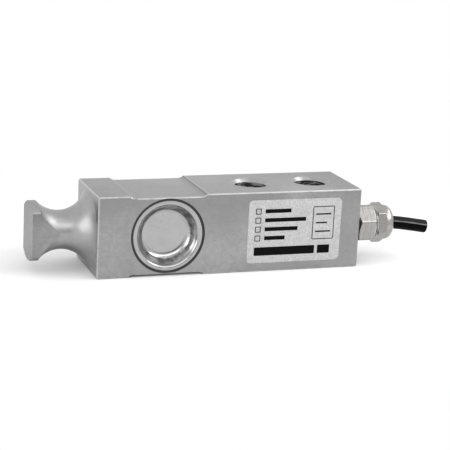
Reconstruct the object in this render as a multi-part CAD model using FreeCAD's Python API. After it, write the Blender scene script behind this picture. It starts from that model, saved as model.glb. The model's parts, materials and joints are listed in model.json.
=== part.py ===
import FreeCAD, Part
import math
import os
from FreeCAD import Vector

# Single-ended shear beam load cell, in millimetres.
# Origin: midway between the two mounting holes, on the underside of the beam.
# +X runs along the beam towards the cable, +Z is up, and -Y is the face with the label.

# Beam: a square bar with two mounting holes and a spool-shaped loading end
section = 31.8
block_length = 107.1
hole_pitch = 25.4
hole_to_end = 15.9
hole_radius = 6.5
hole_chamfer = 1.25
edge_break = 0.45
relief_start = 12.4
relief_end = 42.8
relief_depth = 0.9
relief_cutter_radius = 4.0

# Spool: a flat-sided head behind a throat turned with one round form tool
spool_length = 23.2
head_thickness = 3.05
head_radius = 11.55
head_edge_break = 0.4
throat_radius = 7.5
groove_radius = 12.0
half_across_flats = 7.6
flat_edge_break = 0.18

# Gauge pockets, one in each side, with a thin web left between them
pocket_from_block_end = 27.6
pocket_radius = 12.9
pocket_corner_radius = 1.5
web_thickness = 5.0
ledge_radius = 14.7
ledge_depth = 0.8
jumper_hole_radius = 1.0
jumper_hole_height = 9.2

# Seal cup: a drawn sheet closing each pocket
cup_sheet = 0.5
cup_rim_radius = 13.68
cup_mouth_radius = 12.3
cup_floor_radius = 9.2
cup_floor_depth = 4.9
cup_floor_bend = 3.2
cup_rim_bend = 0.6

# Sealant bead in the gap around the cup: its depth at the cup and at the ledge's wall, and its hollow
bead_rim_depth = 0.32
bead_wall_depth = 0.2
bead_hollow = 0.06

# Strain gauge circuit on the web
gauge_length = 9.0
gauge_height = 7.0
gauge_film = 0.12
grid_line = 0.25
grid_pitch = 0.5
grid_bars = 5
grid_length = 2.6
grid_foil = 0.05
grid_offset = 2.1
grid_angle = 45.0
terminal_offset = 7.9
terminal_size = Vector(3.0, 0.5, 6.0)
solder_dot_radius = 0.6
solder_dot_height = 0.25
board_offset = 7.6
board_size = Vector(4.0, 0.8, 12.0)
resistor_size = Vector(1.25, 0.5, 2.0)
resistor_spacing = 4.0
resistor_inset = 0.3
pad_inset = 1.0
inner_pad_height = 1.4
outer_pad_height = 4.2
jumper_radius = 0.25
jumper_bend = 1.0
jumper_lift = 2.1
jumper_spread = 0.45
jumper_pad_inset = 0.8

# Cable gland in the end face, offset so that its wires pass beside the mounting holes
gland_offset = section / 4
gland_across_flats = 14.2
gland_hole_depth = 7.0
shank_radius = 6.0
shank_length = 5.0
shank_bore = 3.1
gasket_thickness = 0.8
gasket_radius = 6.7
body_hex_end = 8.0
neck_radius = 5.6
neck_end = 12.0
seat_start = 7.0
nut_start = 8.3
nut_hex_end = 12.8
nut_shoulder = 12.5
nut_cone_end = 15.4
nut_end = 16.5
dome_radius = 7.0
dome_round = 2.8
mouth_radius = 3.2
body_hex_turn = 15.0
body_hex_rounding = 1.4
nut_hex_turn = 40.0
nut_hex_rounding = 0.6
hex_chamfer = 0.7
hex_corner_trim = 0.05
claw_fingers = 6
claw_slot = 0.7
claw_slot_start = 9.5
claw_tip = 13.5
claw_radius = 4.4
seal_radius = 3.7
seal_taper_start = 13.0
seal_nose_start = 15.0
seal_nose_end = 16.2
seal_nose_radius = 3.05
seal_slack = 0.02
seal_flare = 0.25

# Cable: four leads in a braid and a jacket, cut off square a little way out of the gland
cable_radius = 2.65
jacket_bore = 1.85
braid_bore = 1.65
lead_radius = 0.5
lead_spread = 0.67
lead_proud = 0.25
lead_bend = 60.0
lead_stub = 3.0
lead_turn_before_channel = 1.3
lead_turn_behind_gland = 8.0
lead_turn_in_gland = 0.5
channel_radius = 2.0
channel_offset = 10.2

# Label on the front face
label_length = 38.9
label_height = 25.2
label_thickness = 0.1
label_corner = 1.8
label_centre_x = 0.75
label_centre_z = 16.1

# Places worked out from the driving dimensions
half = section / 2
block_right = hole_pitch / 2 + hole_to_end
block_left = block_right - block_length
pocket_x = block_left + pocket_from_block_end
web_face = web_thickness / 2
front = -1
rear = 1
along_x = Vector(1, 0, 0)
along_y = Vector(0, 1, 0)
along_z = Vector(0, 0, 1)
cable_y = -gland_offset
cable_z = half

# Working values: closeness of equal lengths, how far a cut runs past a face,
# the widest bend, and the share of a run that a bend may take up at each end
tiny = 0.01
overshoot = 1.0
widest_bend = 1000.0
run_share = 0.45

# Cable route from the jacket's start: distance from the end face, and height
cable_route = [(1.0, 0.0), (8.0, 0.0), (15.5, -0.06), (21.5, -0.75), (26.8, -1.6), (32.9, -2.66)]

os.makedirs("parts", exist_ok=True)


# Drawing helpers

def outline(start, steps):
    """Closed face from a start point and steps: a point draws a line, a pair draws an arc."""
    edges = []
    here = start
    for step in steps + [start]:
        if isinstance(step, tuple):
            middle, end = step
            edges.append(Part.Arc(here, middle, end).toShape())
        else:
            end = step
            edges.append(Part.LineSegment(here, end).toShape())
        here = end
    return Part.Face(Part.Wire(edges))


def turned(profile, centre_y, centre_z):
    """Solid turned about a line along X, from a profile of (x, radius) points and arcs."""
    def place(point):
        return Vector(point[0], centre_y, centre_z + point[1])

    placed = []
    for step in profile:
        is_arc = isinstance(step[0], tuple)
        placed.append(tuple(place(point) for point in step) if is_arc else place(step))
    face = outline(placed[0], placed[1:])
    return face.revolve(Vector(0, centre_y, centre_z), along_x, 360)


def rod(radius, start, end):
    """Cylinder between two points."""
    return Part.makeCylinder(radius, (end - start).Length, start, end - start)


def block(low, high):
    """Box between two corners."""
    size = high - low
    return Part.makeBox(size.x, size.y, size.z, low)


def wedge(corner, away, along, depth):
    """Three-sided bar along an edge, with one face across its corner, to break that edge by a depth."""
    outwards = Vector(away).normalize()
    across = outwards.cross(along).normalize() * overshoot
    middle = corner - outwards * depth
    return outline(middle - across, [middle + across, corner + outwards * overshoot]).extrude(along)


def hexagon(across_flats, start_x, end_x, turn, rounding):
    """Hexagonal bar along the gland's axis, turned by an angle in degrees, with rounded long edges."""
    corner_radius = across_flats / math.sqrt(3)
    corners = []
    for side in range(6):
        angle = math.radians(turn + 60 * side)
        y = cable_y - corner_radius * math.cos(angle)
        z = cable_z + corner_radius * math.sin(angle)
        corners.append(Vector(start_x, y, z))
    solid = outline(corners[0], corners[1:]).extrude(Vector(end_x - start_x, 0, 0))
    return solid.makeFillet(rounding, [edge for edge in solid.Edges if edge.BoundBox.XLength > tiny])


def bend_radius(before, corner, after, largest):
    """Radius of the arc at a corner: as large as its two runs allow, up to a limit."""
    turn = (corner - before).getAngle(after - corner)
    shorter = min((corner - before).Length, (after - corner).Length)
    return min(largest, run_share * shorter / math.tan(turn / 2))


def rounded_path(points, largest):
    """Wire of straight runs joined by tangent arcs."""
    edges = []
    here = points[0]
    for before, corner, after in zip(points, points[1:], points[2:]):
        arriving = (corner - before).normalize()
        leaving = (after - corner).normalize()
        half_turn = arriving.getAngle(leaving) / 2
        radius = bend_radius(before, corner, after, largest)
        reach = radius * math.tan(half_turn)
        inwards = (leaving - arriving).normalize()
        arc_start = corner - arriving * reach
        arc_middle = corner + inwards * (radius / math.cos(half_turn) - radius)
        arc_end = corner + leaving * reach
        edges.append(Part.LineSegment(here, arc_start).toShape())
        edges.append(Part.Arc(arc_start, arc_middle, arc_end).toShape())
        here = arc_end
    edges.append(Part.LineSegment(here, points[-1]).toShape())
    return Part.Wire(edges)


def tube(points, radius, largest=widest_bend):
    """Round solid along a rounded path."""
    path = rounded_path(points, largest)
    ring = Part.Circle(points[0], points[1] - points[0], radius).toShape()
    return path.makePipeShell([Part.Wire([ring])], True, False)


def moved(points, dy, dz):
    """The same points, shifted across the cable."""
    return [point + Vector(0, dy, dz) for point in points]


def export(name, shape):
    """Write one node and say how large it is."""
    shape.exportStep("parts/" + name + ".step")
    solids = len(shape.Solids)
    print(f"{name:22s} {solids} solid(s) {shape.Volume:10.2f} mm3 valid {shape.isValid()}")


# Beam body

def side_outline():
    """The bar seen from the label side, with the shallow relief over and under the pockets."""
    left, right = block_left + relief_start, block_left + relief_end
    rise = relief_cutter_radius - relief_depth
    run = math.sqrt(relief_cutter_radius ** 2 - rise ** 2)
    swing = math.acos(rise / relief_cutter_radius) / 2
    arc_x = relief_cutter_radius * math.sin(swing)
    arc_z = relief_cutter_radius * (1 - math.cos(swing))

    def at(x, z):
        return Vector(x, -half, z)

    def relief(inside, outside, from_left):
        """One relief floor with its two cutter arcs, drawn in either direction."""
        step = 1 if inside > outside else -1
        begin, end = (left, right) if from_left else (right, left)
        way = 1 if from_left else -1
        arc_in = (at(begin + way * (run - arc_x), inside - step * arc_z), at(begin + way * run, inside))
        arc_out = (at(end - way * (run - arc_x), inside - step * arc_z), at(end, outside))
        return [at(begin, outside), arc_in, at(end - way * run, inside), arc_out]

    under = relief(relief_depth, 0.0, True)
    over = relief(section - relief_depth, section, False)
    corners = [at(block_right, 0), at(block_right, section)]
    return outline(at(block_left, 0), under + corners + over + [at(block_left, section)])


def bar():
    """Square bar with relief, and a small break on every outside edge."""
    solid = side_outline().extrude(Vector(0, section, 0))
    picked = []
    for edge in solid.Edges:
        box = edge.BoundBox
        on_side_face = box.YLength < tiny
        on_left_end = abs(box.XMax - block_left) < tiny
        on_right_end = abs(box.XMin - block_right) < tiny
        if on_side_face or on_left_end or on_right_end:
            picked.append(edge)
    return solid.makeChamfer(edge_break, picked)


def spool():
    """Loading end: head, round-bottomed throat and flare, with two flats milled on the head."""
    head_end = block_left - spool_length
    groove_edge = head_end + head_thickness
    groove_height = throat_radius + groove_radius
    reach = math.sqrt(groove_radius ** 2 - (groove_height - head_radius) ** 2)
    groove_x = groove_edge + reach
    flare_radius = groove_height - math.sqrt(groove_radius ** 2 - (block_left - groove_x) ** 2)
    inside = block_left + overshoot
    print(f"spool flare radius at the block {flare_radius:.2f}")
    profile = [
        (head_end, 0.0),
        (head_end, head_radius - head_edge_break),
        (head_end + head_edge_break, head_radius),
        (groove_edge, head_radius),
        ((groove_x, throat_radius), (block_left, flare_radius)),
        (inside, flare_radius),
        (inside, 0.0),
    ]
    solid = turned(profile, 0.0, half)
    for side in (front, rear):
        inner = side * half_across_flats
        outer = side * section
        low = Vector(head_end - overshoot, min(inner, outer), 0)
        high = Vector(groove_x, max(inner, outer), section)
        solid = solid.cut(block(low, high))
        end_edge = wedge(Vector(head_end, inner, 0), Vector(-1, side, 0), along_z * section, flat_edge_break)
        solid = solid.cut(end_edge)
        flat_height = math.sqrt(head_radius ** 2 - half_across_flats ** 2)
        for up in (-1, 1):
            corner = Vector(low.x, inner, half + up * flat_height)
            away = Vector(0, side * (head_radius + half_across_flats), up * flat_height)
            round_edge = wedge(corner, away, along_x * (high.x - low.x), flat_edge_break)
            solid = solid.cut(round_edge)
    return solid


def mounting_hole(x):
    """Through hole with a chamfer at each end."""
    hole = rod(hole_radius, Vector(x, 0, -overshoot), Vector(x, 0, section + overshoot))
    wide = hole_radius + hole_chamfer + overshoot
    depth = hole_chamfer + overshoot
    lower = Part.makeCone(wide, hole_radius, depth, Vector(x, 0, -overshoot), along_z)
    upper = Part.makeCone(hole_radius, wide, depth, Vector(x, 0, section - hole_chamfer), along_z)
    return hole.fuse(lower).fuse(upper)


def pocket(side):
    """Gauge pocket from one side: a ledge for the cup, then a bore with a rounded floor corner."""
    face = side * half
    floor = side * web_face
    corner = pocket_corner_radius
    bevel = corner * (1 - math.sqrt(0.5))

    def at(radius, y):
        return Vector(pocket_x + radius, y, half)

    arc_middle = at(pocket_radius - bevel, floor + side * bevel)
    profile = outline(at(0, floor), [
        at(pocket_radius - corner, floor),
        (arc_middle, at(pocket_radius, floor + side * corner)),
        at(pocket_radius, face - side * ledge_depth),
        at(ledge_radius, face - side * ledge_depth),
        at(ledge_radius, face + side * overshoot),
        at(0, face + side * overshoot),
    ])
    return profile.revolve(Vector(pocket_x, 0, half), along_y, 360)


def beam_body():
    """The one-piece beam with its holes, pockets, wire channel and gland hole."""
    solid = bar().fuse(spool())
    for sign in (-1, 1):
        solid = solid.cut(mounting_hole(sign * hole_pitch / 2))
    for side in (front, rear):
        solid = solid.cut(pocket(side))
    hole_floor = block_right - gland_hole_depth
    gland_hole = rod(
        shank_radius,
        Vector(hole_floor, cable_y, half),
        Vector(block_right + overshoot, cable_y, half),
    )
    channel = rod(
        channel_radius,
        Vector(pocket_x + pocket_radius - channel_radius, -channel_offset, half),
        Vector(hole_floor + overshoot, -channel_offset, half),
    )
    hole_height = half + jumper_hole_height
    jumper_hole = rod(
        jumper_hole_radius,
        Vector(pocket_x, -web_thickness, hole_height),
        Vector(pocket_x, web_thickness, hole_height),
    )
    return solid.cut(gland_hole).cut(channel).cut(jumper_hole).removeSplitter()


# Seal cups

def seal_cup(side):
    """Drawn cup: a flat rim on the ledge, a sloping wall and a flat floor, one sheet thick."""
    face = side * half
    rim_depth = ledge_depth - cup_sheet
    slope = (cup_mouth_radius - cup_floor_radius) / (cup_floor_depth - rim_depth)
    wall_width = cup_sheet * math.sqrt(1 + slope ** 2)
    back_shift = wall_width - slope * cup_sheet
    bends = {
        (cup_floor_radius, cup_floor_depth): cup_floor_bend,
        (cup_floor_radius + back_shift, cup_floor_depth + cup_sheet): cup_floor_bend + cup_sheet,
        (cup_mouth_radius, rim_depth): cup_rim_bend + cup_sheet,
        (cup_mouth_radius + back_shift, ledge_depth): cup_rim_bend,
    }

    def at(radius, depth):
        return Vector(pocket_x + radius, face - side * depth, half)

    profile = outline(at(0, cup_floor_depth), [
        at(cup_floor_radius, cup_floor_depth),
        at(cup_mouth_radius, rim_depth),
        at(cup_rim_radius, rim_depth),
        at(cup_rim_radius, ledge_depth),
        at(cup_mouth_radius + back_shift, ledge_depth),
        at(cup_floor_radius + back_shift, cup_floor_depth + cup_sheet),
        at(0, cup_floor_depth + cup_sheet),
    ])
    solid = profile.revolve(Vector(pocket_x, 0, half), along_y, 360)
    for (radius, depth), bend in bends.items():
        y = face - side * depth
        ring = [
            edge for edge in solid.Edges
            if edge.BoundBox.YLength < tiny
            and abs(edge.BoundBox.Center.y - y) < tiny
            and abs(edge.BoundBox.ZLength / 2 - radius) < tiny
        ]
        solid = solid.makeFillet(bend, ring)
    return solid


def seal_bead(side):
    """Black sealant around the cup's rim, hollow on top as a wiped bead is."""
    face = side * half

    def at(radius, depth):
        return Vector(pocket_x + radius, face - side * depth, half)

    middle_radius = (cup_rim_radius + ledge_radius) / 2
    middle_depth = (bead_rim_depth + bead_wall_depth) / 2 + bead_hollow
    profile = outline(at(cup_rim_radius, ledge_depth), [
        at(ledge_radius, ledge_depth),
        at(ledge_radius, bead_wall_depth),
        (at(middle_radius, middle_depth), at(cup_rim_radius, bead_rim_depth)),
    ])
    return profile.revolve(Vector(pocket_x, 0, half), along_y, 360)


# Strain gauge circuit

def on_web(side, across, up, size):
    """Flat piece lying on the web, centred at a place beside the pocket's centre."""
    inner = side * web_face
    outer = side * (web_face + size.y)
    low = Vector(pocket_x + across - size.x / 2, min(inner, outer), half + up - size.z / 2)
    return block(low, low + size)


def gauge(side):
    """Film carrier with two crossed grids, bonded to the web at 45 degrees to the beam."""
    solid = on_web(side, 0, 0, Vector(gauge_length, gauge_film, gauge_height))
    for grid in (-1, 1):
        centre = Vector(pocket_x + grid * grid_offset, 0, half)
        for bar_number in range(grid_bars):
            shift = (bar_number - (grid_bars - 1) / 2) * grid_pitch
            size = Vector(grid_length, gauge_film + grid_foil, grid_line)
            line = on_web(side, grid * grid_offset, shift, size)
            line.rotate(centre, along_y, grid * grid_angle)
            solid = solid.fuse(line)
    return solid.removeSplitter()


def terminal(side):
    """Small solder terminal strip with three dots of solder."""
    solid = on_web(side, -terminal_offset, 0, terminal_size)
    top = side * (web_face + terminal_size.y)
    for number in (-1, 0, 1):
        place = Vector(pocket_x - terminal_offset, top, half + number * terminal_size.z / 3)
        tip = place + Vector(0, side * solder_dot_height, 0)
        solid = solid.fuse(rod(solder_dot_radius, place, tip))
    return solid


def trim_resistors():
    """Three chip resistors on the board."""
    board_top = -web_face - board_size.y
    chips = []
    for number in (-1, 0, 1):
        x = pocket_x + board_offset - board_size.x / 2 + resistor_inset
        z = half + number * resistor_spacing - resistor_size.z / 2
        low = Vector(x, board_top - resistor_size.y, z)
        chips.append(block(low, low + resistor_size))
    return Part.makeCompound(chips)


def bridge_jumpers():
    """Two fine wires through the web, from the board to the terminal on the other side."""
    board_top = -web_face - board_size.y
    terminal_top = web_face + terminal_size.y + solder_dot_height
    wires = []
    for number in (-1, 1):
        hole_x = pocket_x + number * jumper_spread
        board_x = pocket_x + board_offset + pad_inset + number * jumper_spread
        board_z = half + board_size.z / 2 - jumper_pad_inset
        terminal_z = half + (number + 1) / 2 * terminal_size.z / 3
        hole_z = half + jumper_hole_height
        terminal_x = pocket_x - terminal_offset
        points = [
            Vector(board_x, board_top, board_z),
            Vector(board_x, board_top - jumper_lift, board_z),
            Vector(hole_x, board_top - jumper_lift, hole_z),
            Vector(hole_x, terminal_top + jumper_lift, hole_z),
            Vector(terminal_x, terminal_top + jumper_lift, terminal_z),
            Vector(terminal_x, terminal_top, terminal_z),
        ]
        wires.append(tube(points, jumper_radius, jumper_bend))
    return Part.makeCompound(wires)


# Cable and its leads

def route_points():
    """The cable's route through and out of the gland."""
    return [Vector(block_right + out, cable_y, cable_z + up) for out, up in cable_route]


def lead(dy, dz, pad_height):
    """One insulated lead: from its pad on the board, down the channel and out along the cable."""
    pad_x = pocket_x + board_offset + pad_inset
    board_top = -web_face - board_size.y
    pad_z = half + pad_height
    mouth_x = pocket_x + pocket_radius - lead_turn_before_channel
    into_channel = Vector(mouth_x, -channel_offset + dy, half + dz)
    out_of_channel = Vector(block_right - lead_turn_behind_gland, -channel_offset + dy, half + dz)
    in_gland = Vector(block_right - lead_turn_in_gland, cable_y + dy, cable_z + dz)
    in_cable = moved(route_points()[1:], dy, dz)
    last_run = (in_cable[-1] - in_cable[-2]).normalize()
    in_cable[-1] = in_cable[-1] + last_run * lead_proud
    points = [
        Vector(pad_x, board_top, pad_z),
        Vector(pad_x, board_top - lead_stub, pad_z),
        into_channel,
        out_of_channel,
        in_gland,
    ]
    return tube(points + in_cable, lead_radius, lead_bend)


def sleeve(outer, inner):
    """Hollow tube along the cable's route."""
    points = route_points()
    return tube(points, outer).cut(tube(points, inner))


# Cable gland

def on_axis(out):
    """Point on the gland's axis, at a distance from the end face."""
    return Vector(block_right + out, cable_y, cable_z)


def gland_turning(profile):
    """Solid turned about the gland's axis, from (distance from the end face, radius) points and arcs."""
    def shift(point):
        return (block_right + point[0], point[1])

    placed = []
    for step in profile:
        is_arc = isinstance(step[0], tuple)
        placed.append(tuple(shift(point) for point in step) if is_arc else shift(step))
    return turned(placed, cable_y, cable_z)


def chamfered_hexagon(start, end, turn, rounding):
    """Hexagon whose corners are turned off at both ends, as on a nut."""
    corner = gland_across_flats / math.sqrt(3) + hex_corner_trim
    flat = gland_across_flats / 2 - hex_corner_trim
    envelope = gland_turning([
        (start, 0.0),
        (start, flat),
        (start + hex_chamfer, corner),
        (end - hex_chamfer, corner),
        (end, flat),
        (end, 0.0),
    ])
    solid = hexagon(gland_across_flats, block_right + start, block_right + end, turn, rounding)
    return solid.common(envelope)


def gland_body():
    """Threaded shank, hexagon and threaded neck, bored through, with a seat for the claw."""
    solid = chamfered_hexagon(gasket_thickness, body_hex_end, body_hex_turn, body_hex_rounding)
    solid = solid.fuse(rod(shank_radius, on_axis(-shank_length), on_axis(gasket_thickness)))
    solid = solid.fuse(rod(neck_radius, on_axis(body_hex_end), on_axis(neck_end)))
    solid = solid.cut(rod(shank_bore, on_axis(-shank_length - overshoot), on_axis(neck_end)))
    seat = rod(claw_radius, on_axis(seat_start), on_axis(neck_end + overshoot))
    return solid.cut(seat).removeSplitter()


def gland_gasket():
    """Flat rubber ring between the end face and the hexagon."""
    ring = rod(gasket_radius, on_axis(0), on_axis(gasket_thickness))
    return ring.cut(rod(shank_radius, on_axis(0), on_axis(gasket_thickness)))


def gland_nut():
    """Domed nut: a hexagon, then a round cap with a full shoulder and the cable's mouth in it."""
    hexed = chamfered_hexagon(nut_start, nut_hex_end, nut_hex_turn, nut_hex_rounding)
    dome_start = nut_hex_end - hex_chamfer
    inset = dome_round * (1 - math.sqrt(0.5))
    dome = gland_turning([
        (dome_start, 0.0),
        (dome_start, dome_radius),
        (nut_end - dome_round, dome_radius),
        ((nut_end - inset, dome_radius - inset), (nut_end, dome_radius - dome_round)),
        (nut_end, 0.0),
    ])
    inside = gland_turning([
        (nut_start - overshoot, 0.0),
        (nut_start - overshoot, neck_radius),
        (nut_shoulder, neck_radius),
        (nut_shoulder, claw_radius),
        (nut_cone_end, mouth_radius),
        (nut_end + overshoot, mouth_radius),
        (nut_end + overshoot, 0.0),
    ])
    return hexed.fuse(dome).cut(inside).removeSplitter()


def gland_claw():
    """Ring of fingers that the nut's cone squeezes onto the seal."""
    taper = (claw_radius - mouth_radius) / (nut_cone_end - nut_shoulder)
    solid = gland_turning([
        (seat_start, seal_radius),
        (seat_start, claw_radius),
        (nut_shoulder, claw_radius),
        (claw_tip, claw_radius - taper * (claw_tip - nut_shoulder)),
        (claw_tip, seal_radius),
    ])
    for number in range(claw_fingers):
        low = on_axis(claw_slot_start) - Vector(0, claw_slot / 2, 0)
        high = on_axis(claw_tip + overshoot) + Vector(0, claw_slot / 2, 2 * claw_radius)
        slot = block(low, high)
        slot.rotate(on_axis(0), along_x, number * 360 / claw_fingers)
        solid = solid.cut(slot)
    return solid


def gland_seal():
    """Rubber sleeve gripping the cable, with a nose that fills the nut's mouth."""
    bore = cable_radius + seal_slack
    return gland_turning([
        (seat_start, bore),
        (seat_start, seal_radius),
        (seal_taper_start, seal_radius),
        (seal_nose_start, seal_nose_radius),
        (seal_nose_end, seal_nose_radius),
        (seal_nose_end, bore + seal_flare),
    ])


# Label

def identification_label():
    """Thin label with rounded corners on the front face."""
    low = Vector(
        label_centre_x - label_length / 2,
        -half - label_thickness,
        label_centre_z - label_height / 2,
    )
    plate = block(low, low + Vector(label_length, label_thickness, label_height))
    corners = [edge for edge in plate.Edges if edge.BoundBox.YLength > label_thickness / 2]
    return plate.makeFillet(label_corner, corners)


export("beam_body", beam_body())
export("front_seal_cup", seal_cup(front))
export("rear_seal_cup", seal_cup(rear))
export("front_seal_bead", seal_bead(front))
export("rear_seal_bead", seal_bead(rear))
export("front_gauge", gauge(front))
export("rear_gauge", gauge(rear))
export("front_terminal", terminal(front))
export("rear_terminal", terminal(rear))
export("balance_board", on_web(front, board_offset, 0, board_size))
export("trim_resistors", trim_resistors())
export("bridge_jumpers", bridge_jumpers())
export("red_lead", lead(-lead_spread, lead_spread, outer_pad_height))
export("black_lead", lead(lead_spread, lead_spread, inner_pad_height))
export("green_lead", lead(lead_spread, -lead_spread, -inner_pad_height))
export("white_lead", lead(-lead_spread, -lead_spread, -outer_pad_height))
export("cable_shield", sleeve(jacket_bore, braid_bore))
export("cable_jacket", sleeve(cable_radius, jacket_bore))
export("gland_gasket", gland_gasket())
export("gland_body", gland_body())
export("gland_claw", gland_claw())
export("gland_seal", gland_seal())
export("gland_nut", gland_nut())
export("identification_label", identification_label())

points = route_points()
radii = [bend_radius(a, b, c, widest_bend) for a, b, c in zip(points, points[1:], points[2:])]
print("cable bend radii", [round(radius, 1) for radius in radii])
path_length = rounded_path(points, widest_bend).Length
print(f"cable length {path_length:.2f} mm")
section_area = math.pi * (cable_radius ** 2 - jacket_bore ** 2)
print(f"jacket section times length {section_area * path_length:.2f} mm3")
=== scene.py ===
# %% [markdown]
# A cantilever beam load cell is a bar of steel that bends a very little under load, and strain
# gauges inside it measure that bend. This lesson dresses its CAD model for a picture. The model is
# loaded first and stays a fixed frame, so that each finish lands on a shape that is already right.

# %% Load the CAD frame
import json
import math

import bmesh
import bpy
from mathutils import Matrix, Vector

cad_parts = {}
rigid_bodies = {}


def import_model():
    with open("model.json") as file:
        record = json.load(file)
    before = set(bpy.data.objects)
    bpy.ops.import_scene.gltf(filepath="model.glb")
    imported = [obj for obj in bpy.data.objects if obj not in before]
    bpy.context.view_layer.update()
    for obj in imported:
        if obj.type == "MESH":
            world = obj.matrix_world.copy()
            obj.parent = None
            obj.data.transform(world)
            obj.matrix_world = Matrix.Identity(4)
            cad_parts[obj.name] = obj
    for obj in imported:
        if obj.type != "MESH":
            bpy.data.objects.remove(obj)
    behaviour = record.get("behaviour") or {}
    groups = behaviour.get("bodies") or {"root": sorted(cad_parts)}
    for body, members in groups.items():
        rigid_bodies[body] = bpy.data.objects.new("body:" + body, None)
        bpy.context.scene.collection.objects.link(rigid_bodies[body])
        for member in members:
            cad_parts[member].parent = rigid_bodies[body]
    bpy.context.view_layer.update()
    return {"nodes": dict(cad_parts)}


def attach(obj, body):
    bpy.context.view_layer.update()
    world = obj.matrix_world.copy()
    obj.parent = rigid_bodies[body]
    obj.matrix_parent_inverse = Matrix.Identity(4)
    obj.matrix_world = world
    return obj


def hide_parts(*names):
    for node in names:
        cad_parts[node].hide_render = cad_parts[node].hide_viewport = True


for leftover in list(bpy.data.objects):
    bpy.data.objects.remove(leftover)
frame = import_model()
nodes = frame["nodes"]
MM = 0.001
print("CAD nodes:", len(nodes))

# %% [markdown]
# Pieces and finishes are placed by coordinates, and a few places are shared by several of them, so
# these are named once, in millimetres. The origin lies midway between the mounting holes, on the
# underside. X runs along the beam towards the cable, and the label's side faces minus Y.

# %% Places on the beam
half_section = 15.9
block_right = 28.6
cable_y = -7.95
print("beam", 2 * half_section, "mm square, cable end of the block at", block_right, "mm")

# %% [markdown]
# The camera stands where the photographer did: a little to the left, a little above, with a long
# lens and a slight roll. A camera's axes are the columns of its matrix, so they are worked out from
# the three angles and set at once, with no aiming constraint that could drift.

# %% Camera
def direction(azimuth, elevation):
    """Unit vector towards a place round the object: azimuth 0 is in front, 90 on the right."""
    around, above = math.radians(azimuth), math.radians(elevation)
    flat = math.cos(above)
    return Vector((math.sin(around) * flat, -math.cos(around) * flat, math.sin(above)))


def add_object(name, data):
    """A new object in the scene, at the origin."""
    made = bpy.data.objects.new(name, data)
    bpy.context.scene.collection.objects.link(made)
    return made


camera_place = Vector((-218.56, -539.11, 165.01)) * MM
camera_azimuth, camera_elevation, camera_roll = -19.99, 14.66, 2.95
picture_side = 450
focal_length_pixels = 1497.8
sensor_width = 36.0
nearest_seen = 0.01
back = direction(camera_azimuth, camera_elevation)
level_right = Vector((0, 0, 1)).cross(back).normalized()
level_up = back.cross(level_right)
roll = math.radians(camera_roll)
right = level_right * math.cos(roll) + level_up * math.sin(roll)
up = level_up * math.cos(roll) - level_right * math.sin(roll)
lens = bpy.data.cameras.new("camera")
lens.sensor_width = sensor_width
lens.lens = focal_length_pixels * sensor_width / picture_side
lens.clip_start = nearest_seen
camera = add_object("camera", lens)
camera_axes = Matrix((right, up, back)).transposed().to_4x4()
camera.matrix_world = Matrix.Translation(camera_place) @ camera_axes
bpy.context.scene.camera = camera
print(f"lens {lens.lens:.1f} mm, {camera_place.length:.2f} m from the origin")

# %% [markdown]
# The cable is a short cut length that leaves the gland and droops a little under its own weight. A
# bent cylinder would show its joints. One smooth spline gives the centre line instead, and the same
# spline with a round bevel gives the skin. Each point of its route says how far it lies out of the
# beam's end and how high above the gland's axis.

# %% Cable line and skin
cable_radius = 2.65
steps_along, steps_round = 16, 10
cable_route = [(1.0, 0.0), (8.0, 0.0), (15.5, -0.06), (21.5, -0.75), (26.8, -1.6), (32.9, -2.66)]
route = [
    Vector((block_right + out, cable_y, half_section + height)) * MM
    for out, height in cable_route
]
line = bpy.data.curves.new("cable_line", "CURVE")
line.dimensions = "3D"
line.resolution_u = steps_along
spline = line.splines.new("NURBS")
spline.points.add(len(route) - 1)
for point, place in zip(spline.points, route):
    point.co = (*place, 1)
spline.order_u = 3
spline.use_endpoint_u = True
guide = add_object("cable_line", line)


def mesh_of(thing):
    """A new mesh of an object as it stands now."""
    bpy.context.view_layer.update()
    ready = bpy.context.evaluated_depsgraph_get()
    return bpy.data.meshes.new_from_object(thing.evaluated_get(ready))


centre_line = [corner.co.copy() for corner in mesh_of(guide).vertices]
line.bevel_depth = cable_radius * MM
line.bevel_resolution = steps_round
cable_mesh = mesh_of(guide)
cable_mesh.name = "cable"
bpy.data.objects.remove(guide)
cable_length = sum((b - a).length for a, b in zip(centre_line, centre_line[1:]))
print(f"cable line: {len(centre_line)} points, {cable_length / MM:.1f} mm")

# %% [markdown]
# A skin alone has no thickness. Solidify gives it the wall of a real sheath and leaves a bore for
# the screen and the cores, and a small bevel breaks the edges where the knife went through.

# %% Cable sheath
sheath_wall = 0.8
cut_rounding = 0.1
weld_distance = 1e-6
sharp_edge = math.radians(60)
sheath_shape = bmesh.new()
sheath_shape.from_mesh(cable_mesh)
bmesh.ops.remove_doubles(sheath_shape, verts=sheath_shape.verts, dist=weld_distance)
bmesh.ops.recalc_face_normals(sheath_shape, faces=sheath_shape.faces)
bmesh.ops.solidify(sheath_shape, geom=sheath_shape.faces[:], thickness=sheath_wall * MM)
bmesh.ops.recalc_face_normals(sheath_shape, faces=sheath_shape.faces)
cut_edges = [edge for edge in sheath_shape.edges if edge.calc_face_angle(0.0) > sharp_edge]
bmesh.ops.bevel(
    sheath_shape, geom=cut_edges, offset=cut_rounding * MM,
    affect="EDGES", segments=2, profile=0.5, material=-1,
)
for face in sheath_shape.faces:
    face.smooth = True
sheath_shape.to_mesh(cable_mesh)
sheath_shape.free()
cable = add_object("cable", cable_mesh)
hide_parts("cable_jacket")
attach(cable, "root")
print("sheath faces:", len(cable_mesh.polygons), "edges rounded:", len(cut_edges))

# %% [markdown]
# At the cut end each core shows its fine copper strands: one in the middle and a ring around it. A
# texture would look flat from close by, so each strand is a short round bar from a bmesh operator,
# laid along the cable's last run.

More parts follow.
